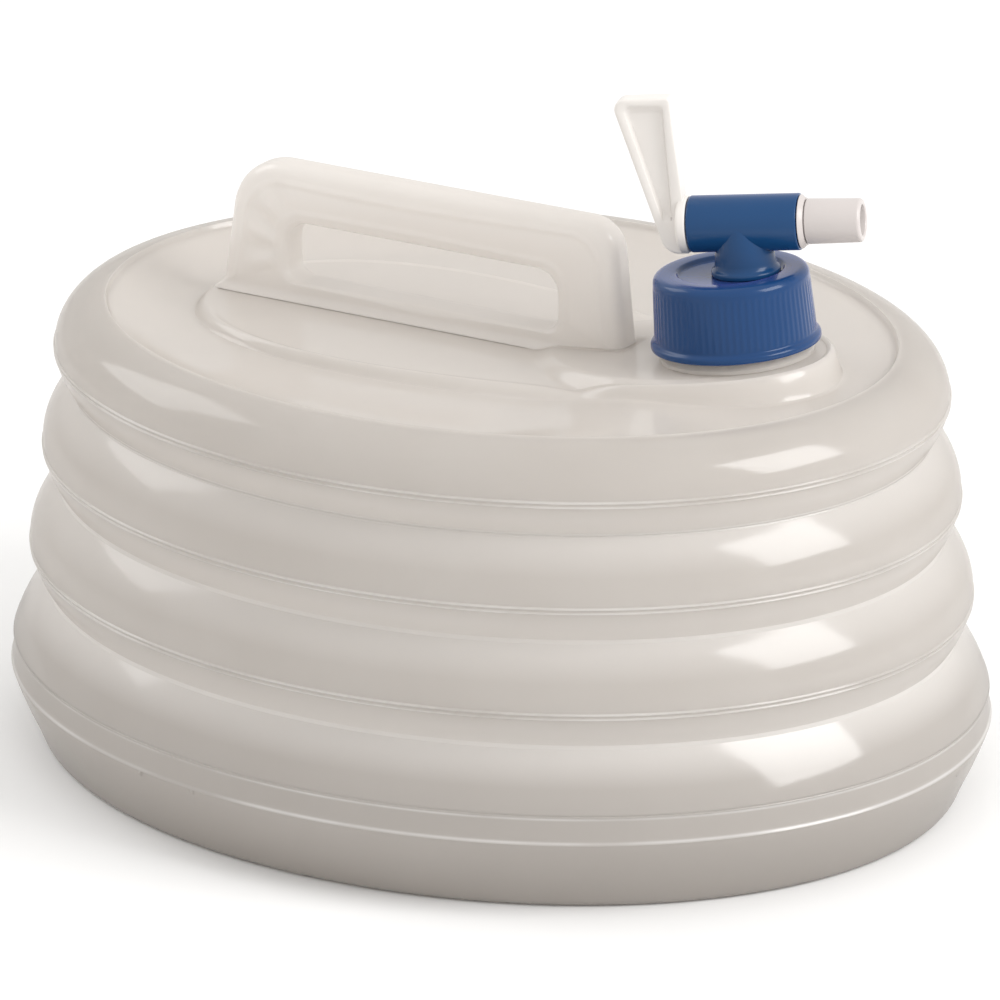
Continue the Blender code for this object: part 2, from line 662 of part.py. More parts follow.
def build_tap_lever(parent):
    """Hub against the barrel's end, and a paddle that flares outward with a sunk face each side."""
    inner = barrel_left - FIT_GAP
    outer = inner - KEY_LENGTH - FIT_GAP - HUB_WALL
    corners = [(outer, -LEVER_DROP), (inner, -LEVER_DROP), (inner - LEVER_LEAN, LEVER_RISE),
               (inner - LEVER_REACH, LEVER_RISE)]
    bm = plate([Vector(corner) for corner in corners], LEVER_THICKNESS)
    bmesh.ops.recalc_face_normals(bm, faces=bm.faces)
    bm.normal_update()
    panels = [face for face in bm.faces if abs(face.normal.y) > 0.9]
    bmesh.ops.inset_individual(bm, faces=panels, thickness=LEVER_RIM, depth=0)
    bmesh.ops.inset_individual(bm, faces=panels, thickness=LEVER_RECESS / 3, depth=-LEVER_RECESS)
    lever = add_object("tap_lever", bm, white_plastic, parent)
    edge = lever.modifiers.new("edge_round", "BEVEL")
    edge.width = LEVER_ROUND
    edge.segments = 2
    edge.limit_method = "ANGLE"
    edge.angle_limit = math.radians(50)
    hub = along_x(turned([(0, outer), (barrel_radius - LEVER_ROUND, outer),
                          (barrel_radius, outer + LEVER_ROUND), (barrel_radius, inner), (0, inner)]))
    combine(lever, add_guide("lever_hub", hub, parent), "UNION")
    half_key = KEY_WIDTH / 2 + FIT_GAP
    socket = block((inner - KEY_LENGTH - FIT_GAP, -half_key, -half_key),
                   (inner + CUT_OVERRUN, half_key, half_key))
    combine(lever, add_guide("key_socket", socket, parent), "DIFFERENCE")
    return lever


build_base_pan()
build_fold("fold_lower", rim_top, groove_levels[0], RIM_DRAFT, LOWER_FOLD_BULGE, 0.0)
build_fold("fold_middle", groove_levels[0], groove_levels[1], GROOVE_DEPTH, FOLD_BULGE, GROOVE_BAND / 2)
build_fold("fold_upper", groove_levels[1], groove_levels[2], GROOVE_DEPTH, FOLD_BULGE, GROOVE_BAND / 2)
build_top_shell()
build_filler_neck()
build_carry_handle()
build_cap_gasket(neck_axis)
build_screw_cap(neck_axis)
tap_axis = add_empty("tap_axis", Matrix.Translation(tap_foot_place) @ Matrix.Rotation(TAP_TURN, 4, "Z"),
                     neck_axis)
build_tap_body(tap_axis)
build_tap_seal(tap_axis)
build_tap_nut(tap_axis)
lever_axis = add_empty("lever_axis", Matrix.Translation((0, 0, barrel_level)), tap_axis)
build_tap_core(lever_axis)
build_core_ring("core_ring_left", -RING_PLACE, lever_axis)
build_core_ring("core_ring_right", RING_PLACE, lever_axis)
build_core_collar(lever_axis)
build_tap_lever(lever_axis)
bpy.context.view_layer.update()
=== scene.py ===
"""Collapsible water carrier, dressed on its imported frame.

An oval polyethylene bottle with bellows sides, a moulded carry handle, a
leaning filler neck, and a blue screw cap that carries a lever tap.
"""
import math

import bmesh
import bpy
from mathutils import Matrix, Vector


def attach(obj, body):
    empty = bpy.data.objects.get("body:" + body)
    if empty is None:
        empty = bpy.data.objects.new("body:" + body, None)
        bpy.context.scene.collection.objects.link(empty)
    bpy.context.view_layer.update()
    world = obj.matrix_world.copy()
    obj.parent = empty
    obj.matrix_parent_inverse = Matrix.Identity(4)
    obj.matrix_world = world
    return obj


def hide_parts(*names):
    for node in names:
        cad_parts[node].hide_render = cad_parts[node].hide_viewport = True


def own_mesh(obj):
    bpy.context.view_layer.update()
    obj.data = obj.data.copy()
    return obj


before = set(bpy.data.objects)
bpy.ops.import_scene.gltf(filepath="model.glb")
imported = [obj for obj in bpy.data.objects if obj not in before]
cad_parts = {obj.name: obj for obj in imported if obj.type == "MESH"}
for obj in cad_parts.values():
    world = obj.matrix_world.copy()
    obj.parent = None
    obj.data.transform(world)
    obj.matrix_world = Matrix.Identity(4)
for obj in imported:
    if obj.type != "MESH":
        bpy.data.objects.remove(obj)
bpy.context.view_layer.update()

# ---------------------------------------------------------------------------
# Base of the bottle.  The lowest zone of one blow moulding in milky low-density
# polyethylene, 1.3 mm thick: a flat foot, a wall that draws in towards it, and
# the upright band round the widest rim.
# ---------------------------------------------------------------------------
half_length, half_width = 0.184, 0.1525
wall = 0.0013
around = 256
rim_top, rim_draft = 0.0380, 0.0010
foot_inset, foot_radius, foot_sweep, foot_steps = 0.0145, 0.0045, math.radians(68), 8
merge_gap = 1e-6


def oval(bm, even_from=0.120):
    """Draw a turned shape in along Y: by a fixed step outside a radius, in proportion inside it."""
    step = half_length - half_width
    for vert in bm.verts:
        radius = math.hypot(vert.co.x, vert.co.y)
        if radius > merge_gap:
            vert.co.y *= 1 - step / max(radius, even_from)


def turned(profile, steps, closed=False):
    """Turn a line, given as (radius, height), about the upright axis; a closed line gives a ring."""
    bm = bmesh.new()
    verts = [bm.verts.new((radius, 0, height)) for radius, height in profile]
    edges = [bm.edges.new(pair) for pair in zip(verts, verts[1:])]
    if closed:
        edges.append(bm.edges.new((verts[-1], verts[0])))
    bmesh.ops.spin(bm, geom=verts + edges, cent=(0, 0, 0), axis=(0, 0, 1), angle=2 * math.pi,
                   steps=steps, use_merge=True)
    bmesh.ops.remove_doubles(bm, verts=bm.verts, dist=merge_gap)
    loose = [edge for edge in bm.edges if not edge.link_faces]
    bmesh.ops.delete(bm, geom=loose, context="EDGES")
    return bm


def turned_sheet(profile):
    """Turn the outer side of the bottle's wall, given as (inset from the rim, height)."""
    return turned([(half_length - inset, height) for inset, height in profile], around)


def finish_piece(bm, name, material, body, nodes=(), sharp=50):
    """Make a bmesh a piece of the model: faces out, smooth up to a sharp angle, on its body."""
    bmesh.ops.remove_doubles(bm, verts=bm.verts, dist=merge_gap)
    bmesh.ops.recalc_face_normals(bm, faces=bm.faces)
    mesh = bpy.data.meshes.new(name)
    bm.to_mesh(mesh)
    bm.free()
    mesh.shade_smooth()
    mesh.set_sharp_from_angle(angle=math.radians(sharp))
    mesh.materials.append(material)
    piece = bpy.data.objects.new(name, mesh)
    bpy.context.scene.collection.objects.link(piece)
    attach(piece, body)
    if nodes:
        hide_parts(*nodes)
    return piece


def give_wall(piece):
    """Thicken a sheet inwards to the bottle's wall."""
    thick = piece.modifiers.new("wall", "SOLIDIFY")
    thick.thickness = wall
    thick.offset = -1


class Signal:
    """The output of one node of a finish, so that sums can be written with it."""

    def __init__(self, finish, socket):
        self.finish, self.socket = finish, socket

    def math(self, operation, *values):
        return self.finish.node("ShaderNodeMath", {"operation": operation}, dict(enumerate(values)))

    def __add__(self, other):
        return self.math("ADD", self, other)

    def __sub__(self, other):
        return self.math("SUBTRACT", self, other)

    def __rsub__(self, other):
        return self.math("SUBTRACT", other, self)

    def __mul__(self, other):
        return self.math("MULTIPLY", self, other)

    def __truediv__(self, other):
        return self.math("DIVIDE", self, other)

    __radd__, __rmul__ = __add__, __mul__


class Finish:
    """A material that is built node by node."""

    def __init__(self, name):
        self.material = bpy.data.materials.new(name)
        self.material.use_nodes = True
        self.tree = self.material.node_tree
        self.tree.nodes.clear()
        self.places = self.node("ShaderNodeTexCoord", out="Object")

    def node(self, kind, settings=None, inputs=None, out=0):
        """Add a node: its settings first, then the values or links of its sockets."""
        node = self.tree.nodes.new(kind)
        for key, value in (settings or {}).items():
            setattr(node, key, value)
        for key, value in (inputs or {}).items():
            if isinstance(value, Signal):
                self.tree.links.new(value.socket, node.inputs[key])
            else:
                node.inputs[key].default_value = value
        return Signal(self, node.outputs[out])

    def axis(self, index):
        """The place along one axis: 0 for X, 1 for Y, 2 for Z."""
        return self.node("ShaderNodeSeparateXYZ", {}, {0: self.places}, out=index)

    def noise(self, scale, detail=2.0, rough=0.5):
        """Cloudy noise over the object."""
        return self.node("ShaderNodeTexNoise", {}, {"Vector": self.places, "Scale": scale, "Detail": detail,
                                                    "Roughness": rough})

    def clamp(self, value, low, high):
        """Run from 0 at the low value to 1 at the high one, and no further."""
        return self.node("ShaderNodeMapRange", {}, {"Value": value, "From Min": low, "From Max": high})

    def blend(self, share, first, second):
        """Mix two colours: the first at 0, the second at 1."""
        return self.node("ShaderNodeMix", {"data_type": "RGBA"}, {0: share, 6: first, 7: second}, out=2)

    def bump(self, strength, distance, height):
        """Roughen the surface by a height."""
        return self.node("ShaderNodeBump", {}, {"Strength": strength, "Distance": distance, "Height": height})

    def band(self, height, level, half):
        """A soft band round the object at a height: 1 on the level, 0 half a band away."""
        away = height - level
        near = 1 - away.math("ABSOLUTE", away) / half
        return near.math("MAXIMUM", near, 0.0)

    def show(self, shader):
        """Send a shader to the output and give the finished material."""
        output = self.tree.nodes.new("ShaderNodeOutputMaterial")
        self.tree.links.new(shader.socket, output.inputs["Surface"])
        return self.material


# The grooves of the bellows, the rim's creases and the pair of fine beads above each groove also show in the finish:
# painted light at the grooves against their shade, painted highlight lines at the creases and beads.
groove_levels = [0.0590, 0.0960, 0.1330]
bead_places = (0.0122, 0.0139)
line_levels = [0.0282, 0.0368] + [groove + place for groove in groove_levels for place in bead_places]
# Colours of painted light: the grooves, the upward-facing deck, and the painted highlight lines.
groove_painted_light, deck_painted_light, bead_painted_highlight = (0.93, 0.905, 0.88, 1), (0.93, 0.89, 0.85, 1), (0.97, 0.96, 0.95, 1)
deck_half_length, deck_half_width = 0.148, 0.1165
air_tint = (1.0, 0.995, 0.985, 1)


def polyethylene(name, light, shade, floor_painted_shade, glowing, through, clear, roughness=0.17, lines=(), grooves=()):
    """Milky translucent polyethylene: cloudy; painted shade greys it and lessens its glow towards the floor,
    painted light lightens the grooves and the deck, and painted highlights make bright streaky lines at the beads and
    rim creases; through and clear are the shares of light that passes and of open air."""
    finish = Finish(name)
    cloud = finish.noise(9.0, 3.0, 0.6)
    patch = finish.noise(34.0)
    height = finish.axis(2)
    # Painted shade: 0 at the floor rising to 1 above it; it greys the colour and lessens the glow towards the floor.
    floor_shade_fade = finish.clamp(height, -0.014, 0.080)
    colour = finish.blend(finish.clamp(cloud * 0.7 + patch * 0.3, 0.32, 0.68), shade, light)
    # Painted shade: greyer towards the floor.
    colour = finish.blend(floor_shade_fade, floor_painted_shade, colour)
    # Painted light: lighter round each groove, where shade falls between the rings.
    for level in grooves:
        colour = finish.blend(finish.band(height, level, 0.0125) * 0.9, colour, groove_painted_light)
    # Painted light: the deck, which faces up, lighter.
    if grooves:
        along, across = finish.axis(0), finish.axis(1)
        inside = 1 - along * along / deck_half_length ** 2 - across * across / deck_half_width ** 2
        deck = finish.clamp(inside, -0.03, 0.04) * finish.clamp(height, 0.140, 0.150)
        colour = finish.blend(deck * 0.75, colour, deck_painted_light)
    # Painted highlight: bright streaky lines along the beads and the rim's creases.
    streak = finish.clamp(finish.noise(16.0, 2.0, 0.6), 0.35, 0.62)
    for level in lines:
        colour = finish.blend(finish.band(height, level, 0.00075) * (streak * 0.6 + 0.2), colour, bead_painted_highlight)
    waviness = finish.noise(42.0, 2.0, 0.4)
    grain = finish.noise(1500.0, 2.0, 0.6)
    bump = finish.bump(0.25, 0.0010, waviness + grain * 0.008)
    gloss = finish.node("ShaderNodeBsdfPrincipled", {}, {
        "Base Color": colour, "Roughness": patch * 0.10 + (roughness - 0.05),
        "IOR": 1.52, "Specular IOR Level": 0.95, "Normal": bump})
    glow = finish.node("ShaderNodeBsdfTranslucent", {}, {"Color": glowing, "Normal": bump})
    # Less light passes towards the floor: more of the same painted shade.
    milk = finish.node("ShaderNodeMixShader", {}, {0: floor_shade_fade * (through * 0.55) + through * 0.45, 1: gloss, 2: glow})
    open_air = finish.node("ShaderNodeBsdfTransparent", {}, {"Color": air_tint})
    return finish.show(finish.node("ShaderNodeMixShader", {}, {0: clear, 1: milk, 2: open_air}))


# Its third colour is painted shade towards the floor.
bottle_finish = polyethylene("milky_polyethylene", (0.675, 0.644, 0.612, 1), (0.635, 0.60, 0.566, 1),
                             (0.33, 0.300, 0.275, 1), (0.87, 0.845, 0.82, 1), 0.50, 0.14, 0.13, line_levels,
                             groove_levels)

base_profile = [(half_length, 0.0030), (0.120, 0.0030), (0.070, 0.0031), (0.046, 0.0031), (0.0385, 0.0029),
                (0.0360, 0.0022), (0.0340, 0.0010), (0.0325, 0.0002), (0.0305, 0.0), (0.022, 0.0)]
for step in range(foot_steps + 1):
    turn = foot_sweep * step / foot_steps
    base_profile.append((foot_inset - foot_radius * math.sin(turn), foot_radius * (1 - math.cos(turn))))
base_profile += [(0.0078, 0.0089), (0.0048, 0.0152), (0.0022, 0.0214), (0.0008, 0.0252), (0.0003, 0.0266),
                 (0.0003, 0.0270), (0.0, 0.0275), (0.0002, 0.0280), (0.0006, 0.0284), (0.0007, 0.0300),
                 (0.0013, 0.0362), (0.0013, 0.0369), (0.0009, 0.0374), (rim_draft, rim_top)]
base = turned_sheet(base_profile)
oval(base)
base = finish_piece(base, "bottle_base", bottle_finish, "container_base", ["base_pan"])
give_wall(base)

# Small round marks that the mould's vents leave below the rim.
mark_radius = 0.0011
mark_places = ((-0.0619, -0.1430, 0.0268), (-0.0369, -0.1487, 0.0268), (0.1816, 0.0076, 0.0240))
marks = bmesh.new()
for place in mark_places:
    mark = bmesh.ops.create_uvsphere(marks, u_segments=20, v_segments=10, radius=mark_radius)["verts"]
    bmesh.ops.translate(marks, vec=place, verts=mark)
finish_piece(marks, "vent_marks", bottle_finish, "container_base")

# ---------------------------------------------------------------------------
# Bellows.  The folding zone of the same moulding: broad rounded rings between
# narrow grooves, each a little smaller than the one below, with a pair of fine
# beads below its widest line.
# ---------------------------------------------------------------------------
groove_pitch, groove_depth, half_band = 0.0370, 0.0098, 0.0008
draw_in, fold_bulge, lowest_bulge = 0.0050, 0.0074, 0.0012
bead_height, bead_half = 0.00050, 0.00062
fold_steps = 22


def drawn(height):
    """How far the rings have drawn in at a height."""
    return draw_in * (height - rim_top) / groove_pitch


def fold_side(start, end, low_depth, high_depth, bulge, beads=(), upto=1.0):
    """The rounded wall of one ring, from the groove below to the one above, with fine beads along it."""
    heights = [start + (end - start) * step / fold_steps for step in range(fold_steps + 1)]
    for place in beads:
        heights += [place + bead_half * share for share in (-1, -0.6, -0.2, 0.2, 0.6, 1)]
    side = []
    for height in sorted(heights):
        share = (height - start) / (end - start)
        if share <= upto + merge_gap:
            depth = low_depth + (high_depth - low_depth) * share - 4 * share * (1 - share) * bulge
            for place in beads:
                depth -= bead_height * max(1 - ((height - place) / bead_half) ** 2, 0)
            side.append((depth, height))
    return side


folds = fold_side(rim_top, groove_levels[0] - half_band, rim_draft, groove_depth, lowest_bulge)
for low, high in zip(groove_levels, groove_levels[1:]):
    folds += fold_side(low + half_band, high - half_band, groove_depth, groove_depth, fold_bulge,
                       [low + place for place in bead_places])
folds.append((groove_depth, groove_levels[2]))
bellows = turned_sheet([(depth + drawn(height), height) for depth, height in folds])
oval(bellows)
bellows = finish_piece(bellows, "bottle_bellows", bottle_finish, "container_base",
                       ["fold_lower", "fold_middle", "fold_upper"], sharp=30)
give_wall(bellows)
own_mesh(bellows)

# ---------------------------------------------------------------------------
# Top of the bottle.  The last ring rolls over to a fine raised line and into a
# dished deck.  A low oval plinth under the handle runs into the boss, whose top
# leans with the neck.
# ---------------------------------------------------------------------------
crest, deck_level, plinth_level = 0.1643, 0.1548, 0.1583
shoulder_roll, deck_reach, lip_width, lip_drop = 0.0151, 0.0265, 0.0032, 0.0019
swell_start, swell_run, swell_height = 0.035, 0.055, 0.0065
plinth_x, plinth_length, plinth_width, plinth_taper, plinth_power = -0.0085, 0.1090, 0.0535, 1.7, 2.2
plinth_rise, join_width = 0.0015, 0.014
neck_x, boss_level, neck_lean, neck_clear = 0.0963, 0.1680, math.radians(6), 0.0240
boss_x, boss_length, boss_width, boss_edge = 0.0755, 0.0575, 0.0425, 0.0060
spread_x = 0.030


def ease(share):
    """Run smoothly from 0 to 1."""
    share = min(max(share, 0), 1)
    return share * share * (3 - 2 * share)


def swell(x):
    """How much the deck rises towards the boss."""
    return swell_height * ease((x - swell_start) / swell_run)


def in_boss(x, y):
    """How far a point lies inside the boss's oval."""
    return (1 - math.hypot((x - boss_x) / boss_length, y / boss_width)) * boss_width


def in_plinth(x, y):
    """How far a point lies inside the plinth, a full oval that narrows towards the boss."""
    width = plinth_width * (1 - plinth_taper * x)
    reach = abs((x - plinth_x) / plinth_length) ** plinth_power + abs(y / width) ** plinth_power
    return (1 - reach ** (1 / plinth_power)) * width


def platform(x, y):
    """Height of the plinth's top and, over the boss, of the boss's leaning top."""
    low = max(plinth_level, deck_level + swell(x) + plinth_rise)
    top = boss_level + (x - neck_x) * math.tan(neck_lean)
    return low + max(top - low, 0) * ease(in_boss(x, y) / boss_edge)


def outline(turn):
    """How far the raised platform runs along a ray from the spread point, its two ovals softly joined."""
    low, high, ray = 0.0, 0.2, Vector((math.cos(turn), math.sin(turn)))
    for _ in range(26):
        middle = (low + high) / 2
        x, y = spread_x + ray.x * middle, ray.y * middle
        first, second = in_boss(x, y), in_plinth(x, y)
        join = max(join_width - abs(first - second), 0)
        if max(first, second) + join * join / (4 * join_width) > 0:
            low = middle
        else:
            high = middle
    return low


def dish(x, y):
    """Height of the deck at a point, from how far it lies inside the widest rim."""
    low, high = 0.0, 0.140
    for _ in range(24):
        inset = (low + high) / 2
        if (x / (half_length - inset)) ** 2 + (y / (half_width - inset)) ** 2 > 1:
            high = inset
        else:
            low = inset
    share = min(max((inset - lip_end) / deck_reach, 0), 1)
    lip_level = crest - lip_drop
    return lip_level - (lip_level - deck_level - swell(x)) * (1 - (1 - share) ** 2)


shell_low = groove_levels[2]
start = shell_low + half_band
middle = (start + crest) / 2
crest_depth = groove_depth - fold_bulge
shell = [(groove_depth, shell_low)]
shell += fold_side(start, crest, groove_depth, groove_depth, fold_bulge, [shell_low + place for place in bead_places],
                   upto=0.5)
roll_steps = 14
for step in range(1, roll_steps + 1):
    turn = math.pi / 2 * step / roll_steps
    shell.append((crest_depth + shoulder_roll * (1 - math.cos(turn)), middle + (crest - middle) * math.sin(turn)))
shell = [(depth + drawn(height), height) for depth, height in shell]
lip = shell[-1][0]
lip_end = lip + lip_width
shell += [(lip + 0.0005, crest + 0.0002), (lip + 0.0009, crest + 0.0004), (lip + 0.0013, crest + 0.0003),
          (lip + 0.0016, crest - 0.0002), (lip + 0.0019, crest - 0.0010), (lip + 0.0024, crest - 0.0016),
          (lip_end, crest - lip_drop)]

# Inside the lip the rings are first turned flat, then laid by ring and angle over the deck, up the
# plinth's side (wall_run: offset outwards, share of the height) and over the platform.
wall_run = [(0.0022, 0.0), (0.0010, 0.05), (0.0003, 0.20), (-0.0003, 0.42), (-0.0010, 0.66), (-0.0016, 0.83),
            (-0.0022, 0.98), (-0.0029, 1.09), (-0.0036, 1.13), (-0.0044, 1.09), (-0.0053, 1.0), (-0.0070, 1.0)]
deck_rings, inner_rings = 13, 36
wall_rings = deck_rings + len(wall_run)
rings = wall_rings + inner_rings
slope_radius = half_length - lip_end
slope_width = slope_radius - (half_length - half_width)
for ring in range(1, rings + 1):
    shell.append((half_length - slope_radius * (1 - ring / rings), deck_level))
top = turned_sheet(shell)
ring_of = {}
for vert in top.verts:
    radius = math.hypot(vert.co.x, vert.co.y)
    if radius < slope_radius - merge_gap:
        ring_of[vert] = round((1 - radius / slope_radius) * rings), math.atan2(vert.co.y, vert.co.x)
oval(top)
spread = Vector((spread_x, 0))
for vert, (ring, turn) in ring_of.items():
    edge = outline(turn)
    ray = Vector((math.cos(turn), math.sin(turn)))
    foot = spread + ray * (edge + wall_run[0][0])
    foot_height = dish(*foot)
    if ring <= deck_rings:
        outside = Vector((slope_radius * ray.x, slope_width * ray.y))
        place = outside.lerp(foot, ring / (deck_rings + 1))
        height = dish(*place)
    elif ring <= wall_rings:
        offset, share = wall_run[ring - deck_rings - 1]
        place = spread + ray * (edge + offset)
        inner = spread + ray * (edge + wall_run[-1][0])
        height = foot_height + (platform(*inner) - foot_height) * share
    else:
        share = (ring - wall_rings) / inner_rings
        place = spread + ray * (edge + wall_run[-1][0]) * (1 - share)
        height = platform(*place)
    vert.co = (*place, height)

# The wall is open where the neck stands on the boss.
neck_frame = Matrix.Translation((neck_x, 0, boss_level)) @ Matrix.Rotation(-neck_lean, 4, "Y")
to_neck = neck_frame.inverted()
mouth = []
for face in top.faces:
    place = to_neck @ face.calc_center_median()
    if math.hypot(place.x, place.y) < neck_clear and abs(place.z) < 0.004:
        mouth.append(face)
bmesh.ops.delete(top, geom=mouth, context="FACES")
top = finish_piece(top, "bottle_top", bottle_finish, "container_top", ["top_shell"],
                   sharp=30)
give_wall(top)

# ---------------------------------------------------------------------------
# Carry handle.  Part of the same moulding, pinched into a flat plate with a
# finger slot, thicker and whiter than the walls.  Its foot flares into the
# plinth and, at its right end, on to the boss.
# ---------------------------------------------------------------------------
# Its third colour is painted shade towards the floor, which stays below the handle.
handle_finish = polyethylene("handle_polyethylene", (0.84, 0.81, 0.78, 1), (0.80, 0.765, 0.73, 1),
                             (0.33, 0.300, 0.275, 1), (0.94, 0.915, 0.89, 1), 0.45, 0.05, 0.18)
handle_top, handle_half, outer_round, slot_round = 0.2087, 0.0070, 0.0050, 0.0026
slot_left, slot_right, slot_low, slot_high = -0.0850, 0.0269, 0.1649, 0.1876
skin_gap = 0.0001
foot_level = plinth_level + skin_gap
flare_height, flare_reach, handle_middle, handle_far = 0.0035, 0.0024, -0.03, 0.08
ridge_height, ridge_half, crease_depth = 0.0005, 0.0011, 0.0009
corner_steps, face_steps = 6, 20


def side_run(corners, radii, counts):
    """Points round a four-sided outline with rounded corners; counts: steps on even sides, arcs, odd sides."""
    run = []
    for index, corner in enumerate(corners):
        here = Vector(corner)
        back = (Vector(corners[index - 1]) - here).normalized()
        ahead = (Vector(corners[(index + 1) % 4]) - here).normalized()
        half = back.angle(ahead) / 2
        centre = here + (back + ahead).normalized() * radii[index] / math.sin(half)
        first = here + back * radii[index] / math.tan(half)
        last = here + ahead * radii[index] / math.tan(half)
        run.append([centre + (first - centre).slerp(last - centre, step / counts[1]).normalized() * radii[index]
                    for step in range(counts[1] + 1)])
    points = []
    for index, arc in enumerate(run):
        points += arc
        following = run[(index + 1) % 4][0]
        steps = counts[2] if index % 2 else counts[0]
        points += [arc[-1].lerp(following, step / steps) for step in range(1, steps)]
    return points


counts = (16, 12, 60)
outer_run = side_run([(-0.1127, foot_level), (-0.1055, handle_top), (0.0488, handle_top), (0.0542, foot_level)],
                     [0.0015, 0.0210, 0.0130, 0.0015], counts)
slot_run = side_run([(slot_left, slot_low), (slot_left, slot_high), (slot_right, slot_high), (slot_right, slot_low)],
                    [0.0060, 0.0085, 0.0085, 0.0060], counts)
section = []
for step in range(corner_steps + 1):
    section.append(("outer", math.pi / 2 * step / corner_steps))
for step in range(1, face_steps):
    section.append(("face", step / face_steps))
for step in range(corner_steps + 1):
    section.append(("slot", math.pi / 2 * (1 - step / corner_steps)))

# A grid whose one way runs round the handle and the other across its section is laid on both runs.
stations, across = len(outer_run), 2 * len(section)
handle = bmesh.new()
bmesh.ops.create_grid(handle, x_segments=stations, y_segments=across, size=0.5)
for vert in handle.verts:
    station = round((vert.co.x + 0.5) * stations) % stations
    place = round((vert.co.y + 0.5) * across) % across
    side = -1 if place < len(section) else 1
    kind, share = section[place if side < 0 else across - 1 - place]
    outside, inside = outer_run[station], slot_run[station]
    low = outside.y - (foot_level + 0.0030)
    grounded = ease(-low / 0.0028)
    width = (inside - outside).length
    rounding = outer_round * (1 - grounded) + 0.0002
    if kind == "outer":
        depth = rounding * (1 - math.cos(share))
        y = handle_half - rounding + rounding * math.sin(share)
    elif kind == "face":
        depth = rounding + (width - rounding - slot_round) * share
        y = handle_half + 0.0004 * math.sin(math.pi * share) * (1 - grounded)
        along, rise = outside.lerp(inside, depth / width) - Vector((slot_left + 0.0085, slot_high - 0.0113))
        pinch = math.exp(-((along + 0.016) / 0.010) ** 2) * math.sin(math.pi * share) * (1 - grounded)
        y += crease_depth * pinch * math.cos(11 * math.atan2(rise, along))
        for ridge in (depth - 0.0072, width - depth - 0.0042):
            y += ridge_height * math.exp(-(ridge / ridge_half) ** 2) * (1 - grounded)
    else:
        depth = width - slot_round * (1 - math.cos(share))
        y = handle_half - slot_round + slot_round * math.sin(share)
    point = outside.lerp(inside, depth / width)
    x, height = point
    over = height - foot_level
    flare = max(1 - over / flare_height, 0) ** 2
    y += flare_reach * flare
    if abs(x - handle_middle) > handle_far:
        x += math.copysign(flare_reach, x - handle_middle) * flare
    ground = platform(x, y) + skin_gap
    height = max(height, ground) if over > 0.0005 else ground
    vert.co = (x, side * y, height)
finish_piece(handle, "carry_grip", handle_finish, "container_top", ["carry_handle"])

# ---------------------------------------------------------------------------
# Filler neck and its gasket.  The neck is part of the bottle's moulding, with a
# coarse thread; an off-white foam ring seals the cap on its rim.
# ---------------------------------------------------------------------------

def dress_nodes(names, material):
    """Give CAD nodes that stay as they are a new material."""
    for name in names:
        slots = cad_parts[name].data.materials
        slots.clear()
        slots.append(material)


def moulded_plastic(name, light, shade, roughness, bump_share=0.1, sheen=(1, 1, 1, 1), sheen_weight=0.0,
                    mirror=0.5):
    """Injection-moulded plastic: even colour with a slight cloud, fine mould texture, semi-gloss."""
    finish = Finish(name)
    colour = finish.blend(finish.clamp(finish.noise(38.0), 0.15, 0.85), shade, light)
    grain = finish.noise(900.0)
    soft = finish.noise(90.0, 1.0)
    bump = finish.bump(bump_share, 0.0003, grain * 0.15 + soft)
    return finish.show(finish.node("ShaderNodeBsdfPrincipled", {}, {
        "Base Color": colour, "Roughness": soft * 0.10 + (roughness - 0.05), "IOR": 1.5,
        "Specular IOR Level": mirror, "Sheen Weight": sheen_weight, "Sheen Tint": sheen, "Sheen Roughness": 0.3,
        "Normal": bump}))


gasket_finish = moulded_plastic("gasket_foam", (0.80, 0.80, 0.77, 1), (0.74, 0.74, 0.71, 1), 0.75, 0.4)
dress_nodes(["filler_neck"], bottle_finish)
dress_nodes(["cap_gasket"], gasket_finish)

# ---------------------------------------------------------------------------
# Screw cap.  One injection moulding in blue plastic: a flange, a skirt with
# fine upright grip ribs, a rounded edge, and a sunk round seat for the tap with
# its hole a little off the middle.
# ---------------------------------------------------------------------------
cap_finish = moulded_plastic("cap_blue", (0.010, 0.050, 0.155, 1), (0.008, 0.043, 0.138, 1), 0.16, 0.06,
                             (0.30, 0.16, 1.0, 1), 0.22, 0.30)
cap_low, cap_ceiling, seat_level, cap_top = 0.0044, 0.0269, 0.0294, 0.0309
cap_bore, cap_crown, cap_skirt, cap_flange = 0.0257, 0.0275, 0.0285, 0.0300
seat_radius, tap_hole, cap_edge, edge_steps = 0.0191, 0.0075, 0.0030, 8
seat_edge, skirt_foot = seat_radius - 0.0013, cap_low + 0.0030
tap_turn, tap_offset = math.radians(17.4), 0.0056
rib_count, rib_height, rib_low, rib_high, rib_fade = 72, 0.00008, 0.0080, 0.0268, 0.0012
rib_levels = (rib_low, 0.0086, 0.0093, 0.0150, 0.0210, 0.0255, 0.0262, rib_high)

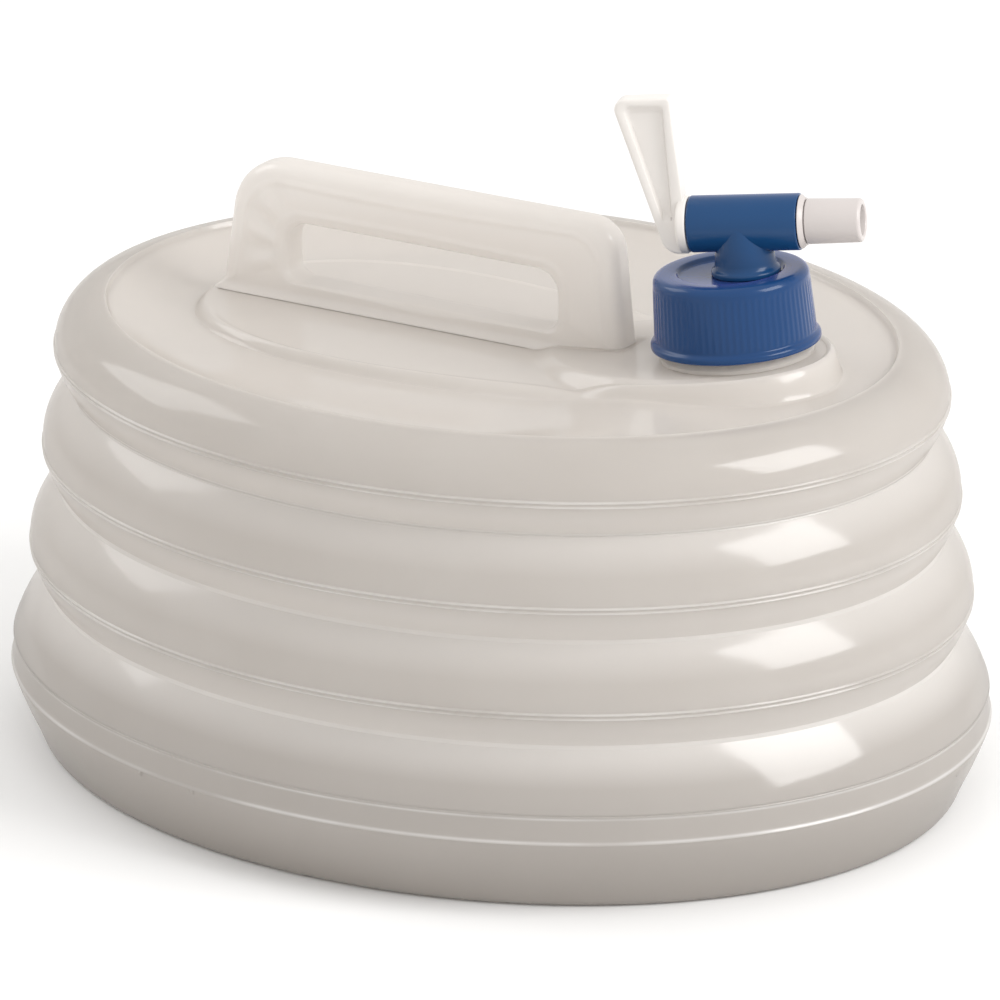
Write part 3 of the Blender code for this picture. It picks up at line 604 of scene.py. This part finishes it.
cap_line = [(tap_hole, cap_ceiling), (seat_edge, cap_ceiling), (cap_bore - 0.0002, cap_ceiling),
            (cap_bore, cap_ceiling - 0.0002), (cap_bore, skirt_foot), (0.0278, cap_low + 0.0004),
            (0.0279, cap_low), (cap_flange - 0.0005, cap_low), (cap_flange - 0.0001, cap_low + 0.0002),
            (cap_flange, cap_low + 0.0006), (cap_flange, cap_low + 0.0017), (cap_flange - 0.0002, cap_low + 0.0022),
            (cap_flange - 0.0007, cap_low + 0.0026), (cap_skirt + 0.0002, cap_low + 0.0029),
            (cap_skirt, cap_low + 0.0033)]
for height in rib_levels:
    share = (height - skirt_foot) / (cap_top - cap_edge - skirt_foot)
    cap_line.append((cap_skirt + (cap_crown - cap_skirt) * share, height))
for step in range(edge_steps + 1):
    turn = math.pi / 2 * step / edge_steps
    cap_line.append((cap_crown - cap_edge * (1 - math.cos(turn)), cap_top - cap_edge * (1 - math.sin(turn))))
cap_line += [(seat_radius + 0.0007, cap_top), (seat_radius + 0.0002, cap_top - 0.0001),
             (seat_radius - 0.0001, cap_top - 0.0004), (seat_radius - 0.0006, seat_level + 0.0003),
             (seat_radius - 0.0009, seat_level + 0.0001), (seat_edge, seat_level), (tap_hole, seat_level)]
lean_in = Vector((math.cos(tap_turn), math.sin(tap_turn), 0)) * tap_offset
cap = turned(cap_line, rib_count * 6, closed=True)
for vert in cap.verts:
    radius, turn = math.hypot(vert.co.x, vert.co.y), math.atan2(vert.co.y, vert.co.x)
    if radius > cap_crown - 0.0004 and rib_low < vert.co.z < rib_high:
        fade = ease((vert.co.z - rib_low) / rib_fade) * ease((rib_high - vert.co.z) / rib_fade)
        grown = radius + rib_height * fade * math.cos(rib_count * turn)
        vert.co.x, vert.co.y = grown * math.cos(turn), grown * math.sin(turn)
    vert.co += lean_in * max(1 - (radius - tap_hole) / (seat_edge - tap_hole), 0)
bmesh.ops.transform(cap, matrix=neck_frame, verts=cap.verts)
finish_piece(cap, "filler_cap", cap_finish, "cap", ["screw_cap"], sharp=40)

# ---------------------------------------------------------------------------
# Tap body.  A second blue moulding: a hollow column that flares into a round
# foot, and the level barrel across its top.  A rubber ring under the foot and a
# nut inside the cap hold it in the seat.
# ---------------------------------------------------------------------------
tap_finish = moulded_plastic("tap_blue", (0.009, 0.056, 0.162, 1), (0.007, 0.050, 0.148, 1), 0.24, 0.06,
                             (0.25, 0.16, 1.0, 1), 0.12, 0.32)
rubber_finish = moulded_plastic("ring_rubber", (0.03, 0.03, 0.03, 1), (0.02, 0.02, 0.02, 1), 0.6, 0.3)
dress_nodes(["tap_seal", "core_ring_left", "core_ring_right"], rubber_finish)
dress_nodes(["tap_nut"], tap_finish)
barrel_level, barrel_outer, barrel_bore = 0.0475, 0.0100, 0.0073
barrel_left, barrel_right, barrel_round = -0.01835, 0.02075, 0.0009
stem_low, tap_foot, seal_skirt = 0.0149, 0.0312, 0.0297
waterway, stem, column, foot = 0.0040, 0.0072, 0.0100, 0.0122
column_low, rise_start, rise_run, rise_steps = tap_foot + 0.0055, 0.0500, 0.0060, 6
tap_frame = neck_frame @ Matrix.Translation(lean_in) @ Matrix.Rotation(tap_turn, 4, "Z")
lever_frame = tap_frame @ Matrix.Translation((0, 0, barrel_level))
lying = Matrix.Rotation(math.pi / 2, 4, "Y")


def rounded_end(radius, end, round_radius, inwards):
    """The rounded corner between a tube's side and its end face, as (radius, place along it)."""
    turns = [math.pi / 2 * step / 5 for step in range(6)]
    return [(radius - round_radius * (1 - math.cos(turn)), end + inwards * round_radius * (1 - math.sin(turn)))
            for turn in turns]


def add_part(bm, part, matrix):
    """Put a second closed shape at its place and add it to a piece's bmesh."""
    bmesh.ops.recalc_face_normals(part, faces=part.faces)
    bmesh.ops.transform(part, matrix=matrix, verts=part.verts)
    mesh = bpy.data.meshes.new("part")
    part.to_mesh(mesh)
    part.free()
    bm.from_mesh(mesh)
    bpy.data.meshes.remove(mesh)


barrel_line = [(barrel_bore, barrel_left), (barrel_bore, barrel_right)]
barrel_line += rounded_end(barrel_outer, barrel_right, 0.0004, -1)[::-1]
barrel_line += rounded_end(barrel_outer, barrel_left, barrel_round, 1)
tap_body = turned(barrel_line, 128, closed=True)
bmesh.ops.transform(tap_body, matrix=lever_frame @ lying, verts=tap_body.verts)

column_line = [(waterway, stem_low), (stem, stem_low), (stem, tap_foot), (foot - 0.0005, tap_foot),
               (foot - 0.0005, seal_skirt), (foot - 0.0001, seal_skirt), (foot, seal_skirt + 0.0002),
               (foot, tap_foot - 0.0002), (foot - 0.0002, tap_foot + 0.0002), (foot - 0.0007, tap_foot + 0.0006),
               (column + 0.0009, tap_foot + 0.0014), (column + 0.0007, tap_foot + 0.0028),
               (column + 0.0005, column_low)]
for step in range(rise_steps + 1):
    column_line.append((column + 0.0005 * (1 - step / rise_steps), rise_start + rise_run * step / rise_steps))
column_line += [(stem, 0.0600), (waterway, 0.0610)]
post = turned(column_line, 96, closed=True)

# The column's upper rings are bent to the underside of the barrel, which they run into.
for vert in post.verts:
    x, y, height = vert.co
    if height > rise_start - 0.0005:
        radius = math.hypot(x, y)
        depth = 0.0097 if radius > 0.0090 else 0.0085 if radius > 0.0060 else 0.0078
        under = barrel_level - math.sqrt(max(depth * depth - y * y, 0))
        rise = min((height - rise_start) / rise_run, 1)
        vert.co.z = column_low + (under - column_low) * (0.2 + 0.8 * rise)
add_part(tap_body, post, tap_frame)
finish_piece(tap_body, "tap_barrel", tap_finish, "cap", ["tap_body"], sharp=40)

# ---------------------------------------------------------------------------
# Tap core.  A white hollow plug that turns in the barrel: a square key for the
# lever at one end, two grooves for its sealing rings, and the spout, thinned
# towards its rounded mouth.  A loose collar closes the barrel's mouth.
# ---------------------------------------------------------------------------
spout_finish = moulded_plastic("spout_white", (0.56, 0.52, 0.505, 1), (0.53, 0.49, 0.475, 1), 0.30, 0.08)
core_radius, groove_floor, groove_place, groove_half = 0.0070, 0.0051, 0.0105, 0.0011
spout_start, spout_end, spout_radius, spout_thin, spout_bore = 0.02335, 0.04305, 0.0080, 0.0077, 0.0054
key_size, key_middle = (0.0064, 0.0070, 0.0070), 0.0031
collar_bore, collar_left, collar_right = core_radius + 0.0003, 0.02105, 0.02305
core_line = [(0, barrel_left), (core_radius - 0.0003, barrel_left), (core_radius, barrel_left + 0.0003)]
for place in (-groove_place, groove_place):
    core_line += [(core_radius, place - groove_half), (groove_floor, place - groove_half),
                  (groove_floor, place + groove_half), (core_radius, place + groove_half)]
core_line += [(core_radius, spout_start), (spout_radius - 0.0003, spout_start), (spout_radius, spout_start + 0.0003)]
core_line += rounded_end(spout_thin, spout_end, 0.0013, -1)
core_line += [(0.0060, spout_end), (0.0056, spout_end - 0.0002), (spout_bore, spout_end - 0.0006),
              (spout_bore, spout_start - 0.0010), (waterway, spout_start - 0.0012), (waterway, -0.0040), (0, -0.0040)]
core = turned(core_line, 96)
bmesh.ops.transform(core, matrix=lying, verts=core.verts)
key = bmesh.ops.create_cube(core, size=1)["verts"]
bmesh.ops.scale(core, vec=key_size, verts=key)
bmesh.ops.translate(core, vec=(barrel_left - key_middle, 0, 0), verts=key)
bmesh.ops.transform(core, matrix=lever_frame, verts=core.verts)
finish_piece(core, "tap_spout", spout_finish, "tap", ["tap_core"], sharp=40)

collar = turned([(collar_bore, collar_left), (0.0092, collar_left), (0.0095, 0.0213), (0.0094, 0.0216),
                 (0.0086, 0.0225), (0.0083, collar_right), (collar_bore, collar_right)], 96, closed=True)
bmesh.ops.transform(collar, matrix=lever_frame @ lying, verts=collar.verts)
finish_piece(collar, "spout_collar", spout_finish, "tap", ["core_collar"], sharp=40)

# ---------------------------------------------------------------------------
# Lever.  A white moulded paddle that widens upwards, with a raised rim round a
# sunk face on each side, and a thin round hub against the barrel's left end.
# ---------------------------------------------------------------------------
white_finish = moulded_plastic("tap_white", (0.76, 0.73, 0.70, 1), (0.73, 0.695, 0.66, 1), 0.32, 0.08)
lever_half, lever_round, face_sunk = 0.0037, 0.0011, 0.0020
sunk_level = lever_half - face_sunk
hub_left, hub_right = -0.0222, barrel_left - 0.0003
lever_steps = (8, 9, 26)
lever_outer = side_run([(-0.0273, -0.0099), (-0.0188, -0.0099), (-0.02135, 0.0465), (-0.0429, 0.0465)],
                       [0.0062, 0.0008, 0.0013, 0.0040], lever_steps)
lever_inner = side_run([(-0.0274, 0.0020), (-0.0240, 0.0020), (-0.0243, 0.0437), (-0.0386, 0.0437)],
                       [0.0012, 0.0012, 0.0014, 0.0022], lever_steps)
stations = len(lever_outer)
middle_point = sum(lever_inner, Vector((0, 0))) / stations

# Rings from the lever's rim to the middle of a face, as (inset of the rounded edge, share of the way
# to the inner outline and then on to the middle, height).
ring_shapes = [(0.0, 0.0, lever_half - lever_round)]
for step in range(1, 6):
    turn = math.pi / 2 * step / 5
    ring_shapes.append((lever_round * (1 - math.cos(turn)), 0.0, lever_half - lever_round * (1 - math.sin(turn))))
ring_shapes += [(None, 0.25, lever_half), (None, 0.90, lever_half), (None, 1.0, lever_half - 0.0002),
                (None, 1.04, lever_half - 0.0007), (None, 1.10, sunk_level + 0.0003),
                (None, 1.15, sunk_level), (None, 1.5, sunk_level), (None, 2.0, sunk_level)]
across = 2 * len(ring_shapes) - 1
lever = bmesh.new()
bmesh.ops.create_grid(lever, x_segments=stations, y_segments=across, size=0.5)
for vert in lever.verts:
    station = round((vert.co.x + 0.5) * stations) % stations
    place = round((vert.co.y + 0.5) * across)
    side = -1 if place < len(ring_shapes) else 1
    inset, share, y = ring_shapes[len(ring_shapes) - 1 - place if side < 0 else place - len(ring_shapes)]
    outside, inside = lever_outer[station], lever_inner[station]
    inwards = (inside - outside).normalized()
    edge_point = outside + inwards * (lever_round if inset is None else inset)
    if share <= 1:
        point = edge_point.lerp(inside, share)
    else:
        point = inside.lerp(middle_point, min(share - 1, 1))
    vert.co = (point.x, side * y, point.y)
bmesh.ops.remove_doubles(lever, verts=lever.verts, dist=merge_gap)
hub_line = [(0, hub_left)] + rounded_end(barrel_outer, hub_left, 0.0012, 1)[::-1]
hub_line += rounded_end(barrel_outer, hub_right, 0.0005, -1) + [(0, hub_right)]
add_part(lever, turned(hub_line, 96), lying)
bmesh.ops.transform(lever, matrix=lever_frame, verts=lever.verts)
finish_piece(lever, "tap_paddle", white_finish, "tap", ["tap_lever"], sharp=50)

# ---------------------------------------------------------------------------
# Studio: a pale floor that runs out of view, a tall window-like softbox behind
# to the right, a weaker one to the left, and an even pale surround.
# ---------------------------------------------------------------------------
floor_tint, surround_tint = (0.86, 0.86, 0.86, 1), (1.0, 0.99, 0.975, 1)
light_middle = Vector((0, 0, 0.10))
floor_bm = bmesh.new()
bmesh.ops.create_grid(floor_bm, x_segments=1, y_segments=1, size=12)
floor_mesh = bpy.data.meshes.new("studio_floor")
floor_bm.to_mesh(floor_mesh)
floor_bm.free()
floor = bpy.data.objects.new("studio_floor", floor_mesh)
bpy.context.scene.collection.objects.link(floor)
floor_finish = Finish("studio_floor")
floor_mesh.materials.append(floor_finish.show(floor_finish.node("ShaderNodeBsdfDiffuse", {}, {"Color": floor_tint})))


def softbox(name, azimuth, elevation, distance, size, power):
    """An area light that faces the bottle, at an azimuth from the front towards the right."""
    turn, rise = math.radians(azimuth), math.radians(elevation)
    place = Vector((math.sin(turn) * math.cos(rise), -math.cos(turn) * math.cos(rise), math.sin(rise)))
    light = bpy.data.lights.new(name, "AREA")
    light.shape, light.size, light.size_y, light.energy = "RECTANGLE", size[0], size[1], power
    lamp = bpy.data.objects.new(name, light)
    bpy.context.scene.collection.objects.link(lamp)
    lamp.location = place * distance + light_middle
    lamp.rotation_euler = place.to_track_quat("Z", "Y").to_euler()


softbox("window_right", 94, 34, 1.7, (0.88, 0.92), 17)
softbox("window_left", -84, 36, 1.8, (0.9, 0.9), 6.5)
world = bpy.data.worlds.new("pale_surround")
bpy.context.scene.world = world
world.use_nodes = True
surround = world.node_tree.nodes["Background"].inputs
surround["Color"].default_value, surround["Strength"].default_value = surround_tint, 1.0
bpy.context.scene.view_settings.view_transform = "Standard"

# The camera stands where the photograph's did: in front, 30 degrees to the right and 20 above.
azimuth, elevation, roll = math.radians(29.976), math.radians(20.259), math.radians(0.25)
back = Vector((math.sin(azimuth) * math.cos(elevation), -math.cos(azimuth) * math.cos(elevation),
               math.sin(elevation)))
right = Vector((math.cos(azimuth), math.sin(azimuth), 0))
right = right * math.cos(roll) + back.cross(right) * math.sin(roll)
pose = Matrix((right, back.cross(right), back)).transposed().to_4x4()
aim, away = Vector((0.004918, -0.007489, 0.098387)), 3.214
pose.translation = aim + back * away
camera = bpy.data.objects.new("camera", bpy.data.cameras.new("camera"))
bpy.context.scene.collection.objects.link(camera)
camera.data.sensor_width, camera.data.lens, camera.data.clip_end = 36, 324, 20
camera.matrix_world = pose
bpy.context.scene.camera = camera
